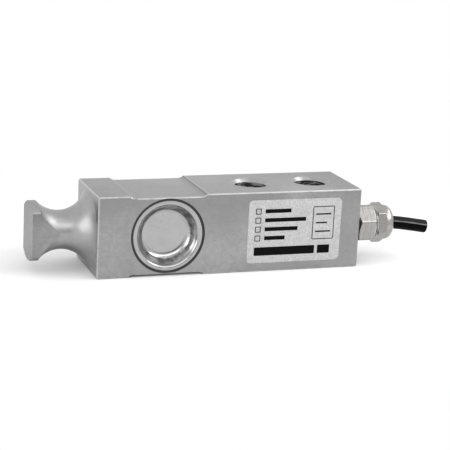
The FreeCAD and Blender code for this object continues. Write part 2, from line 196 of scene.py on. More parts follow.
# %% Copper strands at the cut end
def finished_mesh(shape, name):
    """A mesh of a finished shape, which is then let go."""
    mesh = bpy.data.meshes.new(name)
    shape.to_mesh(mesh)
    shape.free()
    return mesh


core_spread = 0.67
core_proud = 0.25
strand_radius = 0.095
strand_ring = 0.2
strand_length = 0.5
strand_proud = 0.012
strand_count = 6
strand_sides = 10
last_run = (route[-1] - route[-2]).normalized()
turn_to_run = Vector((0, 0, 1)).rotation_difference(last_run).to_matrix().to_4x4()
strand_places = [Vector((0, 0, 0))]
for number in range(strand_count):
    angle = 2 * math.pi * number / strand_count
    strand_places.append(Vector((math.cos(angle), math.sin(angle), 0)) * strand_ring)
strands = bmesh.new()
for across, height in ((-1, 1), (1, 1), (1, -1), (-1, -1)):
    core_place = Vector((0, across, height)) * core_spread * MM
    core_end = route[-1] + core_place + last_run * core_proud * MM
    for place in strand_places:
        middle = place + Vector((0, 0, strand_proud - strand_length / 2))
        bmesh.ops.create_cone(
            strands, cap_ends=True, segments=strand_sides,
            radius1=strand_radius * MM, radius2=strand_radius * MM, depth=strand_length * MM,
            matrix=Matrix.Translation(core_end) @ turn_to_run @ Matrix.Translation(middle * MM),
        )
strand_mesh = finished_mesh(strands, "core_strands")
core_strands = add_object("core_strands", strand_mesh)
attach(core_strands, "root")
print("strand faces:", len(strand_mesh.polygons))

# %% [markdown]

# %% [markdown]
# A finish is a tree of nodes, and wiring each node by hand takes several lines. These helpers keep
# it short: one feeds a socket from another socket or from a plain number, and the others give the
# result of a math node, or of a row of them.

# %% Helpers: feed and calculate
def feed(tree, socket, value):
    """Link a socket to another, or set its plain value."""
    if isinstance(value, bpy.types.NodeSocket):
        tree.links.new(value, socket)
    else:
        socket.default_value = value


def calc(tree, operation, *values):
    """A math node's result."""
    node = tree.nodes.new("ShaderNodeMath")
    node.operation = operation
    for socket, value in zip(node.inputs, values):
        feed(tree, socket, value)
    return node.outputs[0]


def chain(tree, operation, result, *others):
    """Several values joined by one operation, as in a product of masks."""
    for other in others:
        result = calc(tree, operation, result, other)
    return result


def without(tree, mask):
    """1 where a mask is 0, and 0 where it is 1."""
    return calc(tree, "SUBTRACT", 1.0, mask)


def away(tree, value, middle):
    """How far a coordinate is from a place in millimetres, on either side."""
    return calc(tree, "ABSOLUTE", calc(tree, "SUBTRACT", value, middle * MM))


print("math helpers ready")

# %% [markdown]
# Places and directions are vectors. They are split into three parts, joined from parts, and
# measured or stretched as a whole.

# %% Helpers: vectors
def vector_calc(tree, operation, *values):
    """A vector math node's outputs, Vector and Value."""
    node = tree.nodes.new("ShaderNodeVectorMath")
    node.operation = operation
    for socket, value in zip(node.inputs, values):
        feed(tree, socket, value)
    return node.outputs


def scaled(tree, vector, factors):
    """A vector times three factors."""
    return vector_calc(tree, "MULTIPLY", vector, factors)["Vector"]


def length_of(tree, vector):
    """The length of a vector."""
    return vector_calc(tree, "LENGTH", vector)["Value"]


def split(tree, vector):
    """The X, Y and Z parts of a vector."""
    node = tree.nodes.new("ShaderNodeSeparateXYZ")
    tree.links.new(vector, node.inputs[0])
    return node.outputs


def joined(tree, **parts):
    """A vector from its named parts, with 0 for a part that isn't named."""
    node = tree.nodes.new("ShaderNodeCombineXYZ")
    for way, value in parts.items():
        feed(tree, node.inputs[way], value)
    return node.outputs[0]


print("vector helpers ready")

# %% [markdown]
# Nearly every finish starts from a soft noise. A ramp cuts a range out of it, and a mix turns that
# range into a change from one colour to another.

# %% Helpers: noise, ramps and colours
def noise(tree, vector, detail=3.0, roughness=0.55):
    """Soft noise from 0 to 1, one cell to a unit of the vector."""
    node = tree.nodes.new("ShaderNodeTexNoise")
    feed(tree, node.inputs["Vector"], vector)
    node.inputs["Scale"].default_value = 1.0
    node.inputs["Detail"].default_value = detail
    node.inputs["Roughness"].default_value = roughness
    return node.outputs["Fac"]


def ramp(tree, value, low, high, to_low=0.0, to_high=1.0):
    """A value moved from one range to another, with a smooth start and end."""
    node = tree.nodes.new("ShaderNodeMapRange")
    node.interpolation_type = "SMOOTHSTEP"
    for socket, number in zip(node.inputs, (value, low, high, to_low, to_high)):
        feed(tree, socket, number)
    return node.outputs[0]


def mixed(tree, share, first, second):
    """A colour between two others."""
    node = tree.nodes.new("ShaderNodeMix")
    node.data_type = "RGBA"
    feed(tree, node.inputs[0], share)
    feed(tree, node.inputs[6], first)
    feed(tree, node.inputs[7], second)
    return node.outputs[2]


def grey(value):
    """A neutral colour."""
    return (value, value, value, 1.0)


print("noise and colour helpers ready")

# %% [markdown]
# An effect that several finishes share is built once as a node group with named inputs and outputs,
# and each finish then places it with its own values.

# %% Helpers: node groups
def new_group(name, inputs, outputs):
    """An empty node group with its named sockets."""
    tree = bpy.data.node_groups.new(name, "ShaderNodeTree")
    for label, kind, value in inputs:
        socket = tree.interface.new_socket(name=label, in_out="INPUT", socket_type=kind)
        socket.default_value = value
    for label in outputs:
        tree.interface.new_socket(name=label, in_out="OUTPUT", socket_type="NodeSocketFloat")
    return tree, tree.nodes.new("NodeGroupInput").outputs, tree.nodes.new("NodeGroupOutput").inputs


def use_group(tree, group, **values):
    """Place a group in a tree and give its outputs."""
    node = tree.nodes.new("ShaderNodeGroup")
    node.node_tree = group
    for label, value in values.items():
        feed(tree, node.inputs[label.replace("_", " ")], value)
    return node.outputs


print("group helpers ready")

# %% [markdown]
# Ground and milled steel shows fine lines in the direction of the cut, with soft cloudy changes of
# sheen over them. One group makes both from two noises. Its Lines input says how many lines there
# are to a metre along each axis, so a small number along an axis draws the lines out that way.

# %% Cut grain group
grain, grain_in, grain_out = new_group(
    "cut_grain",
    [
        ("Vector", "NodeSocketVector", (0.0, 0.0, 0.0)),
        ("Lines", "NodeSocketVector", (100.0, 4000.0, 4000.0)),
        ("Clouds", "NodeSocketFloat", 180.0),
    ],
    ["Lines", "Clouds"],
)
line_noise = noise(grain, scaled(grain, grain_in["Vector"], grain_in["Lines"]), 4.0)
cloud_noise = noise(grain, scaled(grain, grain_in["Vector"], grain_in["Clouds"]), 4.0, 0.6)
grain.links.new(line_noise, grain_out["Lines"])
grain.links.new(cloud_noise, grain_out["Clouds"])
print("group:", grain.name, [item.name for item in grain.interface.items_tree])

# %% [markdown]
# A turned surface has rings about its axis instead. Along a cylinder the rings follow the distance
# along the axis, and on an end face they follow the radius, so their sum works for both.

# %% Turned rings group
rings, rings_in, rings_out = new_group(
    "turned_rings",
    [
        ("Along", "NodeSocketFloat", 0.0),
        ("Across", "NodeSocketVector", (0.0, 0.0, 0.0)),
        ("Per metre", "NodeSocketFloat", 5000.0),
    ],
    ["Rings"],
)
ring_distance = calc(rings, "ADD", rings_in["Along"], length_of(rings, rings_in["Across"]))
ring_row = joined(rings, X=calc(rings, "MULTIPLY", ring_distance, rings_in["Per metre"]))
rings.links.new(noise(rings, ring_row, 3.0, 0.6), rings_out["Rings"])
print("group:", rings.name)

# %% [markdown]
# Handling leaves a few hairline marks. They are a noise stretched almost to threads and cut off
# near its peaks, thinned out by a second, broad noise so that they come in patches.

# %% Handling marks group
thread_stretch = (60.0, 3500.0, 3500.0)
patch_size = (90.0, 90.0, 90.0)
marks, marks_in, marks_out = new_group(
    "handling_marks",
    [
        ("Vector", "NodeSocketVector", (0.0, 0.0, 0.0)),
        ("Turn", "NodeSocketVector", (0.3, 0.5, 0.2)),
        ("Amount", "NodeSocketFloat", 0.5),
    ],
    ["Marks"],
)
turned_vector = marks.nodes.new("ShaderNodeMapping")
marks.links.new(marks_in["Vector"], turned_vector.inputs["Vector"])
marks.links.new(marks_in["Turn"], turned_vector.inputs["Rotation"])
threads = noise(marks, scaled(marks, turned_vector.outputs[0], thread_stretch), 1.0)
patches = noise(marks, scaled(marks, marks_in["Vector"], patch_size), 2.0)
thin = ramp(marks, threads, 0.66, 0.74)
somewhere = ramp(marks, patches, 0.5, 0.7)
marks.links.new(chain(marks, "MULTIPLY", thin, somewhere, marks_in["Amount"]), marks_out["Marks"])
print("group:", marks.name)

# %% [markdown]
# Every material starts in the same way: a Principled shader, Object coordinates and their three
# parts. A bump node turns a height into a normal, with its depth given in micrometres.

# %% Start of a material
def start(name, colour, roughness, metallic=0.0):
    """A new material with its tree, shader, coordinates and their parts."""
    made = bpy.data.materials.new(name)
    made.use_nodes = True
    tree = made.node_tree
    shader = tree.nodes["Principled BSDF"]
    shader.inputs["Base Color"].default_value = colour
    shader.inputs["Roughness"].default_value = roughness
    shader.inputs["Metallic"].default_value = metallic
    place = tree.nodes.new("ShaderNodeTexCoord").outputs["Object"]
    return made, tree, shader, place, split(tree, place)


def bump(tree, shader, height, micrometres):
    """Feed a height to the shader's normal."""
    node = tree.nodes.new("ShaderNodeBump")
    node.inputs["Strength"].default_value = 1.0
    node.inputs["Distance"].default_value = micrometres * 1e-6
    tree.links.new(height, node.inputs["Height"])
    tree.links.new(node.outputs[0], shader.inputs["Normal"])


def across_from(tree, parts, **axis):
    """The vector from an axis to a place: the two coordinates that lie across it."""
    ways = {way: calc(tree, "SUBTRACT", parts[way], at * MM) for way, at in axis.items()}
    return joined(tree, **ways)


print("material start ready")

# %% [markdown]
# The beam is one bar, but it was cut in several ways: the block was milled and ground along its
# length, the spool was turned, the flats of its head were milled and the holes drilled. Masks from
# plain coordinates say which cut a point belongs to.

# %% Beam steel: which cut made this point
block_left = -78.5
past_block = 0.02
throat_x = -89.66
head_flat = 7.6
hole_x = 12.7
hole_radius = 6.5
near = 0.03
steel, tree, shader, place, parts = start("beam_steel", grey(0.37), 0.34, 1.0)
left_of_block = calc(tree, "LESS_THAN", parts["X"], (block_left - past_block) * MM)
on_block = without(tree, left_of_block)
off_middle = calc(tree, "ABSOLUTE", parts["Y"])
out_to_flat = calc(tree, "GREATER_THAN", off_middle, (head_flat - near) * MM)
left_of_throat = calc(tree, "LESS_THAN", parts["X"], throat_x * MM)
on_flat = calc(tree, "MULTIPLY", out_to_flat, left_of_throat)
on_turning = calc(tree, "MULTIPLY", left_of_block, without(tree, on_flat))
along_to_hole = calc(tree, "SUBTRACT", calc(tree, "ABSOLUTE", parts["X"]), hole_x * MM)
hole_distance = length_of(tree, joined(tree, X=along_to_hole, Y=parts["Y"]))
in_hole = calc(tree, "LESS_THAN", hole_distance, (hole_radius + near) * MM)
print("material:", steel.name, len(tree.nodes), "nodes so far")

# %% [markdown]
# Broken edges are cut last with a sharp tool, and every touch rubs them, so they are worn brighter
# than the faces, and a painted highlight adds to that. The faces of the block lie square to the
# axes. An edge is where the normal leans, so that none of its three parts comes near to 1. Edges
# that lean up or down get more of the painted highlight than upright ones, and the chamfers of the
# holes less.

# %% Beam steel: bright edges
hole_chamfer = 1.25
chamfer_margin = 0.1
chamfer_less = 0.6
normal = tree.nodes.new("ShaderNodeNewGeometry").outputs["Normal"]
lean = split(tree, vector_calc(tree, "ABSOLUTE", normal)["Vector"])
largest = chain(tree, "MAXIMUM", lean["X"], lean["Y"], lean["Z"])
tilted = ramp(tree, largest, 0.8, 0.95, 1.0, 0.0)
chamfer_end = (hole_radius + hole_chamfer + chamfer_margin) * MM
by_hole = calc(tree, "LESS_THAN", hole_distance, chamfer_end)
has_edges = calc(tree, "SUBTRACT", on_block, calc(tree, "MULTIPLY", by_hole, chamfer_less))
# Painted highlight over the wear: edges whose normal leans up or down are brightened more.
highlit_by_lean = ramp(tree, lean["Z"], 0.0, 0.65, 0.4, 1.0)
rubbed_and_highlit = chain(tree, "MULTIPLY", tilted, has_edges, highlit_by_lean)
print("material:", steel.name, len(tree.nodes), "nodes so far")

# %% [markdown]
# The shallow relief over the gauges runs out in an arc of the cutter at each end. The arcs are not
# brightened like the other edges. Shade is painted on the slope of the arc where the cutter came
# out, and a little on the edge where it went in, which holds back its highlight. A painted
# highlight lies as a bright rim on the top, close to the arc where the cutter came out.

# %% Beam steel: arcs of the relief
gauge_x = -50.9
relief_half = 15.2
relief_run = 2.6
relief_margin = 0.3
rim_offset, rim_bright, rim_gone = 0.4, 0.2, 0.6
from_relief = away(tree, parts["X"], gauge_x)
before_end = calc(tree, "LESS_THAN", from_relief, (relief_half + relief_margin) * MM)
past_floor = calc(tree, "GREATER_THAN", from_relief, (relief_half - relief_run) * MM)
at_arc = calc(tree, "MULTIPLY", before_end, past_floor)
cutter_arc = calc(tree, "MULTIPLY", at_arc, calc(tree, "LESS_THAN", lean["Y"], 0.2))
going_in = calc(tree, "LESS_THAN", parts["X"], gauge_x * MM)
# Painted shade on the edge where the cutter went in, holding back its highlight.
entry_edge_shade = chain(tree, "MULTIPLY", at_arc, going_in, tilted)
not_brightened = chain(tree, "MAXIMUM", in_hole, cutter_arc, entry_edge_shade)
bright_edge = calc(tree, "MULTIPLY", rubbed_and_highlit, without(tree, not_brightened))
coming_out = calc(tree, "MULTIPLY", cutter_arc, without(tree, going_in))
# Painted shade on the slope where the cutter came out.
arc_painted_shade = calc(tree, "MULTIPLY", coming_out, ramp(tree, largest, 0.78, 0.94, 0.5, 0.0))
relief_painted_shade = calc(tree, "MAXIMUM", arc_painted_shade, calc(tree, "MULTIPLY", entry_edge_shade, 0.15))
flat_on_top = calc(tree, "GREATER_THAN", lean["Z"], 0.9)
# Painted highlight: a bright rim on the top beside the arc where the cutter came out.
from_rim = away(tree, parts["X"], gauge_x + relief_half + rim_offset)
rim_highlight_share = ramp(tree, from_rim, rim_bright * MM, rim_gone * MM, 0.4, 0.0)
painted_rim_highlight = calc(tree, "MULTIPLY", flat_on_top, rim_highlight_share)
print("material:", steel.name, len(tree.nodes), "nodes so far")

# %% [markdown]
# Milling draws lines along the bar, and turning makes rings about its axis. Both could be bump
# alone, but fine lines change the tone too, so one value holds them for both uses. A few hairline
# marks from handling lie over them.

# %% Beam steel: lines of the cut
milled = use_group(tree, grain, Vector=place, Lines=(900.0, 3600.0, 3600.0), Clouds=420.0)
from_axis = across_from(tree, parts, Y=0.0, Z=half_section)
turned = use_group(tree, rings, Along=parts["X"], Across=from_axis, Per_metre=4200.0)["Rings"]
cut = tree.nodes.new("ShaderNodeMix")
feed(tree, cut.inputs[0], on_turning)
feed(tree, cut.inputs[2], milled["Lines"])
feed(tree, cut.inputs[3], turned)
cut_lines = cut.outputs[0]
scratched = use_group(tree, marks, Vector=place, Turn=(0.4, 0.9, 0.25), Amount=0.6)["Marks"]
print("material:", steel.name, len(tree.nodes), "nodes so far")

# %% [markdown]
# Lines and clouds together give the steel its colour. Turned faces get a brighter tone, and drilled
# ones a much brighter one. A broad noise keeps the large faces from looking flat, and it is moved to
# a part of the noise where the darker patches fall about as they do on the real beam.

# %% Beam steel: tone
broad_move = (0.53, 0.77, -0.34)
broad_size = (28.0, 28.0, 28.0)
turned_brighter, drilled_brighter = 0.2, 0.9
tone = ramp(tree, calc(tree, "MULTIPLY_ADD", cut_lines, 0.9, milled["Clouds"]), 0.6, 1.3)
fresh = mixed(tree, tone, grey(0.302), grey(0.39))
turned_share = calc(tree, "MULTIPLY", on_turning, turned_brighter)
drilled_share = calc(tree, "MULTIPLY", in_hole, drilled_brighter)
brighter = mixed(tree, calc(tree, "MAXIMUM", turned_share, drilled_share), fresh, grey(0.5))
moved = vector_calc(tree, "ADD", place, broad_move)["Vector"]
broad = ramp(tree, noise(tree, scaled(tree, moved, broad_size), 2.0), 0.35, 0.65, 0.6, 0.0)
clean = mixed(tree, broad, brighter, grey(0.25))
print("material:", steel.name, len(tree.nodes), "nodes so far")

# %% [markdown]
# The end and the flats of the spool's head are painted darker than its throat as shade, and the
# flats most at their upper ends. A narrow strip beside each flat is painted as dark as the flat,
# which holds back the highlight on its edge. Shade is also painted under the spool, where the
# normal points downwards.

# %% Beam steel: painted shade on the spool
head_inside = -98.6
head_end = -101.7
end_painted_shade = 0.28
edge_strip = 0.35
flat_shade_from, flat_shade_to = 1.0, 10.0
under_painted_shade = 0.48
# Painted shade: the head's end face is darker.
on_end = calc(tree, "LESS_THAN", parts["X"], (head_end + near) * MM)
beside_flat = calc(tree, "GREATER_THAN", off_middle, (head_flat - edge_strip) * MM)
on_head = calc(tree, "LESS_THAN", parts["X"], head_inside * MM)
turned_up = calc(tree, "LESS_THAN", calc(tree, "ADD", lean["X"], lean["Y"]), 0.97)
flat_edge = chain(tree, "MULTIPLY", beside_flat, on_head, turned_up)
flat_shade_low, flat_shade_high = (half_section + flat_shade_from) * MM, (half_section + flat_shade_to) * MM
# Painted shade on the flats and the strip beside them, darkest at their upper ends.
flat_shade_by_height = ramp(tree, parts["Z"], flat_shade_low, flat_shade_high, 0.14, 0.4)
flat_shade = calc(tree, "MULTIPLY", calc(tree, "MAXIMUM", on_flat, flat_edge), flat_shade_by_height)
head_shade = calc(tree, "MULTIPLY_ADD", on_end, end_painted_shade, flat_shade)
# Painted shade under the spool, where the normal points down.
underside_shade = ramp(tree, split(tree, normal)["Z"], -0.82, -0.42, under_painted_shade, 0.0)
spool_shade = calc(tree, "MAXIMUM", head_shade, calc(tree, "MULTIPLY", left_of_block, underside_shade))
print("material:", steel.name, len(tree.nodes), "nodes so far")

# %% [markdown]
# The drilled bores get painted shade in uneven bands around them. The top of the block is painted
# darker as shade at both ends and a little along its far side.

# %% Beam steel: painted shade on the block
top_middle = -26.0
end_shade_from, end_shade_to, end_shade_amount = 30.0, 54.0, 0.2
far_side_from, far_side_to, far_side_shade_amount = -6.0, 15.0, 0.07
bore_bands = use_group(tree, grain, Vector=place, Lines=(180.0, 180.0, 800.0), Clouds=300.0)["Lines"]
# Painted shade in uneven bands in the bores.
bore_shade = calc(tree, "MULTIPLY", in_hole, ramp(tree, bore_bands, 0.5, 0.56, 1.0, 0.0))
from_middle = away(tree, parts["X"], top_middle)
# Painted shade at both ends of the top and along its far side.
top_end_shade = ramp(tree, from_middle, end_shade_from * MM, end_shade_to * MM, 0.0, end_shade_amount)
far_side = ramp(tree, parts["Y"], far_side_from * MM, far_side_to * MM, 0.0, far_side_shade_amount)
block_top = calc(tree, "MULTIPLY", flat_on_top, on_block)
top_shade = calc(tree, "MULTIPLY", block_top, calc(tree, "ADD", top_end_shade, far_side))
shade = chain(tree, "MAXIMUM", bore_shade, relief_painted_shade, top_shade, spool_shade)
print("material:", steel.name, len(tree.nodes), "nodes so far")

# %% [markdown]
# Now the parts come together. Painted shade darkens the clean tone, and worn edges with their painted
# highlight and the painted rim highlight brighten it. Clouds and marks change the roughness, with
# more of it on turned faces and most in the bores, and the same lines that gave the tone give the
# bump.

# %% Beam steel: put together
mark_rough, mark_depth = 0.12, -0.8
turned_rough, drilled_rough = 0.05, 0.2
cut_depth = 7.0
# Painted shade darkens the clean tone; worn edges and painted highlights brighten it.
shaded = mixed(tree, shade, clean, grey(0.06))
worn_and_highlit = calc(tree, "MULTIPLY", bright_edge, ramp(tree, milled["Clouds"], 0.25, 0.6, 0.5, 1.0))
brightened = mixed(tree, calc(tree, "MAXIMUM", worn_and_highlit, painted_rim_highlight), shaded, grey(0.52))
feed(tree, shader.inputs["Base Color"], brightened)
dull = ramp(tree, milled["Clouds"], 0.3, 0.7, 0.3, 0.38)
dull = calc(tree, "MULTIPLY_ADD", in_hole, drilled_rough, dull)
dull = calc(tree, "MULTIPLY_ADD", on_turning, turned_rough, dull)
feed(tree, shader.inputs["Roughness"], calc(tree, "MULTIPLY_ADD", scratched, mark_rough, dull))
bump(tree, shader, calc(tree, "MULTIPLY_ADD", scratched, mark_depth, cut_lines), cut_depth)
print("material:", steel.name, len(tree.nodes), "nodes")

# %% [markdown]
# The seal cups are drawn from thin sheet, which leaves faint rings about the cup's own axis and a
# brighter, smoother skin than the milled bar. The wall of the recess is painted darker as shade, in
# uneven patches, and its depth below the beam's face tells it from the rim and the floor. Shallow
# dents lie over all but the rim.

# %% Cup steel
wall_from, wall_full = 1.2, 2.4
floor_from, floor_full = 3.6, 4.3
dent_size = (330.0, 330.0, 330.0)
dent_height = 60.0
cup_steel, tree, shader, place, parts = start("cup_steel", grey(0.47), 0.2, 1.0)
from_cup = across_from(tree, parts, X=gauge_x, Z=half_section)
drawn = use_group(tree, rings, Along=0.0, Across=from_cup, Per_metre=2200.0)["Rings"]
sheet = use_group(tree, grain, Vector=place, Lines=(900.0, 900.0, 900.0), Clouds=320.0)
skin = mixed(tree, ramp(tree, sheet["Clouds"], 0.3, 0.7), grey(0.375), grey(0.425))
depth = calc(tree, "SUBTRACT", half_section * MM, calc(tree, "ABSOLUTE", parts["Y"]))
below_rim = ramp(tree, depth, wall_from * MM, wall_full * MM)
above_floor = ramp(tree, depth, floor_from * MM, floor_full * MM, 1.0, 0.0)
on_wall = calc(tree, "MULTIPLY", below_rim, above_floor)
dents_and_shade_patches = noise(tree, scaled(tree, place, dent_size), 2.0)
# Painted shade on the cup's wall, in patches from the same noise as the dents.
wall = mixed(tree, ramp(tree, dents_and_shade_patches, 0.38, 0.62), grey(0.2), grey(0.47))
feed(tree, shader.inputs["Base Color"], mixed(tree, on_wall, skin, wall))
feed(tree, shader.inputs["Roughness"], ramp(tree, sheet["Clouds"], 0.3, 0.7, 0.15, 0.23))
fine = calc(tree, "MULTIPLY_ADD", sheet["Lines"], 0.4, drawn)
wavy = chain(tree, "MULTIPLY", dents_and_shade_patches, dent_height, below_rim)
bump(tree, shader, calc(tree, "ADD", wavy, fine), 1.2)
print("material:", cup_steel.name, len(tree.nodes), "nodes")

# %% [markdown]
# The gland is brass with bright nickel on it. Plating is smoother than milled steel, so its roughness
# is lower, with cloudy fingermarks. Lines of the bar show through on the body. The narrow gap
# between the two hexagons gets little light, and a brighter tone in it makes up for that.

# %% Gland nickel
hexagon_gap = 8.15
gap_bright, gap_gone = 0.35, 0.6
nickel, tree, shader, place, parts = start("gland_nickel", (0.36, 0.355, 0.345, 1.0), 0.2, 1.0)
from_gland = across_from(tree, parts, Y=cable_y, Z=half_section)
plated = use_group(tree, rings, Along=parts["X"], Across=from_gland, Per_metre=3200.0)["Rings"]
smears = use_group(tree, grain, Vector=place, Lines=(1500.0, 1500.0, 1500.0), Clouds=500.0)
smudge = ramp(tree, smears["Clouds"], 0.35, 0.65)
handled = mixed(tree, smudge, (0.38, 0.375, 0.365, 1.0), (0.33, 0.325, 0.315, 1.0))
bar_lines = use_group(tree, rings, Along=parts["X"], Per_metre=1100.0)["Rings"]
line_share = ramp(tree, bar_lines, 0.35, 0.65)
lined = mixed(tree, line_share, (0.385, 0.38, 0.37, 1.0), (0.3, 0.295, 0.285, 1.0))
gap_x = block_right + hexagon_gap
on_body = calc(tree, "LESS_THAN", parts["X"], gap_x * MM)
plating = mixed(tree, on_body, handled, lined)
in_gap = ramp(tree, away(tree, parts["X"], gap_x), gap_bright * MM, gap_gone * MM, 1.0, 0.0)
feed(tree, shader.inputs["Base Color"], mixed(tree, in_gap, plating, (0.6, 0.59, 0.57, 1.0)))
feed(tree, shader.inputs["Roughness"], ramp(tree, smears["Clouds"], 0.3, 0.7, 0.2, 0.32))
bump(tree, shader, calc(tree, "MULTIPLY_ADD", smears["Lines"], 0.3, plated), 1.5)
print("material:", nickel.name, len(tree.nodes), "nodes")

# %% [markdown]
# Rubber, cable sheath and moulded plastic are all dull and dark or plain. They share one recipe, a
# fine grain in height and a cloudy roughness, with their own colour, sheen and grain.

# %% Plain plastics and rubber
def moulded(name, colour, roughness, gloss, lines, micrometres):
    """A plastic or rubber with a fine grain and uneven sheen."""
    made, tree, shader, place, parts = start(name, colour, roughness)
    shader.inputs["Specular IOR Level"].default_value = gloss
    skin = use_group(tree, grain, Vector=place, Lines=lines, Clouds=450.0)
    pale = tuple(min(1.0, 1.2 * part) for part in colour[:3]) + (1.0,)
    cloudy = ramp(tree, skin["Clouds"], 0.35, 0.7)
    feed(tree, shader.inputs["Base Color"], mixed(tree, cloudy, colour, pale))
    sheen = ramp(tree, skin["Clouds"], 0.3, 0.7, roughness - 0.04, roughness + 0.06)
    feed(tree, shader.inputs["Roughness"], sheen)
    bump(tree, shader, skin["Lines"], micrometres)
    print("material:", name)
    return made


fine_grain = (4000.0, 4000.0, 4000.0)
drawn_out = (300.0, 2500.0, 2500.0)
rubber = moulded("black_rubber", grey(0.029), 0.6, 0.2, fine_grain, 10.0)
sheath = moulded("cable_sheath", (0.0015, 0.0015, 0.0017, 1.0), 0.17, 0.04, drawn_out, 1.0)
claw = moulded("claw_plastic", (0.25, 0.25, 0.26, 1.0), 0.5, 0.4, fine_grain, 6.0)
lead_colours = {
    "red": (0.5, 0.02, 0.02, 1.0),
    "black": (0.012, 0.012, 0.012, 1.0),
    "green": (0.02, 0.26, 0.06, 1.0),
    "white": (0.75, 0.75, 0.73, 1.0),
}
insulation = {
    name: moulded(name + "_insulation", colour, 0.3, 0.5, drawn_out, 2.0)
    for name, colour in lead_colours.items()
}

# %% [markdown]
# The upper side of the cable is painted lighter as sheen, and a pale line along its front is a
# painted highlight. The height of the normal tells how far up the side a point lies.

# %% Painted sheen and highlight line on the cable
highlight_height = 0.42
sheen_patch_stretch = (350.0, 900.0, 900.0)
tree = sheath.node_tree
shader = tree.nodes["Principled BSDF"]
black = shader.inputs["Base Color"].links[0].from_socket
facing = split(tree, tree.nodes.new("ShaderNodeNewGeometry").outputs["Normal"])
place = tree.nodes.new("ShaderNodeTexCoord").outputs["Object"]
patchy = ramp(tree, noise(tree, scaled(tree, place, sheen_patch_stretch)), 0.35, 0.65, 0.5, 1.0)
# Painted sheen on the upper side of the cable.
top_sheen = calc(tree, "MULTIPLY", ramp(tree, facing["Z"], 0.35, 0.5), patchy)
off_line = calc(tree, "ABSOLUTE", calc(tree, "SUBTRACT", facing["Z"], highlight_height))
in_front = calc(tree, "LESS_THAN", facing["Y"], 0.0)
# Painted highlight: a pale line along the front of the cable.
painted_highlight_line = chain(tree, "MULTIPLY", ramp(tree, off_line, 0.03, 0.12, 1.0, 0.0), patchy, in_front)
sheen_painted = mixed(tree, top_sheen, black, grey(0.012))
feed(tree, shader.inputs["Base Color"], mixed(tree, painted_highlight_line, sheen_painted, grey(0.2)))
print("material:", sheath.name, len(tree.nodes), "nodes")

# %% [markdown]
# Tinned copper is the metal of the screen under the sheath, of the jumper wires and of the cores'
# strands. The screen is braided, so its height is two sets of slanting ridges that cross, and shade
# is painted into the grooves between them.

# %% Tinned copper and its braid
ridge_per_metre = 2600.0
braid_depth = 40.0
copper, tree, shader, place, parts = start("tinned_copper", (0.6, 0.58, 0.55, 1.0), 0.3, 1.0)
slant = calc(tree, "MULTIPLY", parts["X"], ridge_per_metre * math.pi)
sideways = calc(tree, "ADD", parts["Y"], parts["Z"])
around = calc(tree, "MULTIPLY", sideways, ridge_per_metre * math.pi)
one_way = calc(tree, "ABSOLUTE", calc(tree, "SINE", calc(tree, "ADD", slant, around)))
other_way = calc(tree, "ABSOLUTE", calc(tree, "SINE", calc(tree, "SUBTRACT", slant, around)))
braid = calc(tree, "MAXIMUM", one_way, other_way)
# Painted shade in the grooves of the braid.
braid_painted_shade = mixed(tree, braid, (0.3, 0.27, 0.24, 1.0), (0.66, 0.64, 0.61, 1.0))
feed(tree, shader.inputs["Base Color"], braid_painted_shade)
feed(tree, shader.inputs["Roughness"], ramp(tree, braid, 0.5, 1.0, 0.45, 0.24))
bump(tree, shader, braid, braid_depth)
print("material:", copper.name, len(tree.nodes), "nodes")

# %% [markdown]
# Behind the cups sit the strain gauges and a small board. Their details are raised in the CAD
# model, so a material can tell foil from film and solder from board by how far a point stands off
# the web.

# %% Gauge, terminal and board finishes
web_face = 2.5


def raised(name, low_colour, high_colour, stand_off, high_metal):
    """A flat part whose raised details have another colour and may be metal."""
    made, tree, shader, place, parts = start(name, low_colour, 0.4)
    off_web = calc(tree, "ABSOLUTE", parts["Y"])
    is_high = calc(tree, "GREATER_THAN", off_web, (web_face + stand_off) * MM)
    skin = use_group(tree, grain, Vector=place, Lines=(1500.0, 1500.0, 1500.0), Clouds=700.0)
    dark = tuple(0.8 * part for part in low_colour[:3]) + (1.0,)
    low = mixed(tree, ramp(tree, skin["Clouds"], 0.3, 0.7), dark, low_colour)
    feed(tree, shader.inputs["Base Color"], mixed(tree, is_high, low, high_colour))
    if high_metal:
        feed(tree, shader.inputs["Metallic"], is_high)
    feed(tree, shader.inputs["Roughness"], ramp(tree, skin["Clouds"], 0.3, 0.7, 0.3, 0.45))
    bump(tree, shader, skin["Lines"], 4.0)
    print("material:", name)
    return made


film_brown, foil = (0.55, 0.28, 0.06, 1.0), (0.55, 0.45, 0.36, 1.0)
glass_fibre, solder = (0.45, 0.38, 0.18, 1.0), (0.62, 0.62, 0.6, 1.0)
board_green, track_green = (0.02, 0.2, 0.07, 1.0), (0.03, 0.28, 0.1, 1.0)
chip_black, chip_top = (0.03, 0.03, 0.032, 1.0), (0.05, 0.05, 0.055, 1.0)
gauge_film = raised("gauge_film", film_brown, foil, 0.13, True)
terminal_board = raised("terminal_board", glass_fibre, solder, 0.51, True)
circuit_board = raised("circuit_board", board_green, track_green, 0.79, False)
resistor_body = raised("resistor_body", chip_black, chip_top, 1.29, False)

# %% [markdown]
# The label is a silvery film. Its print is a plain form of this lesson's own: boxes, bars and a
# solid band. A group draws one bar: the distance to a rounded rectangle, cut to a crisp edge. A box
# is a bar with a smaller bar taken out of it.

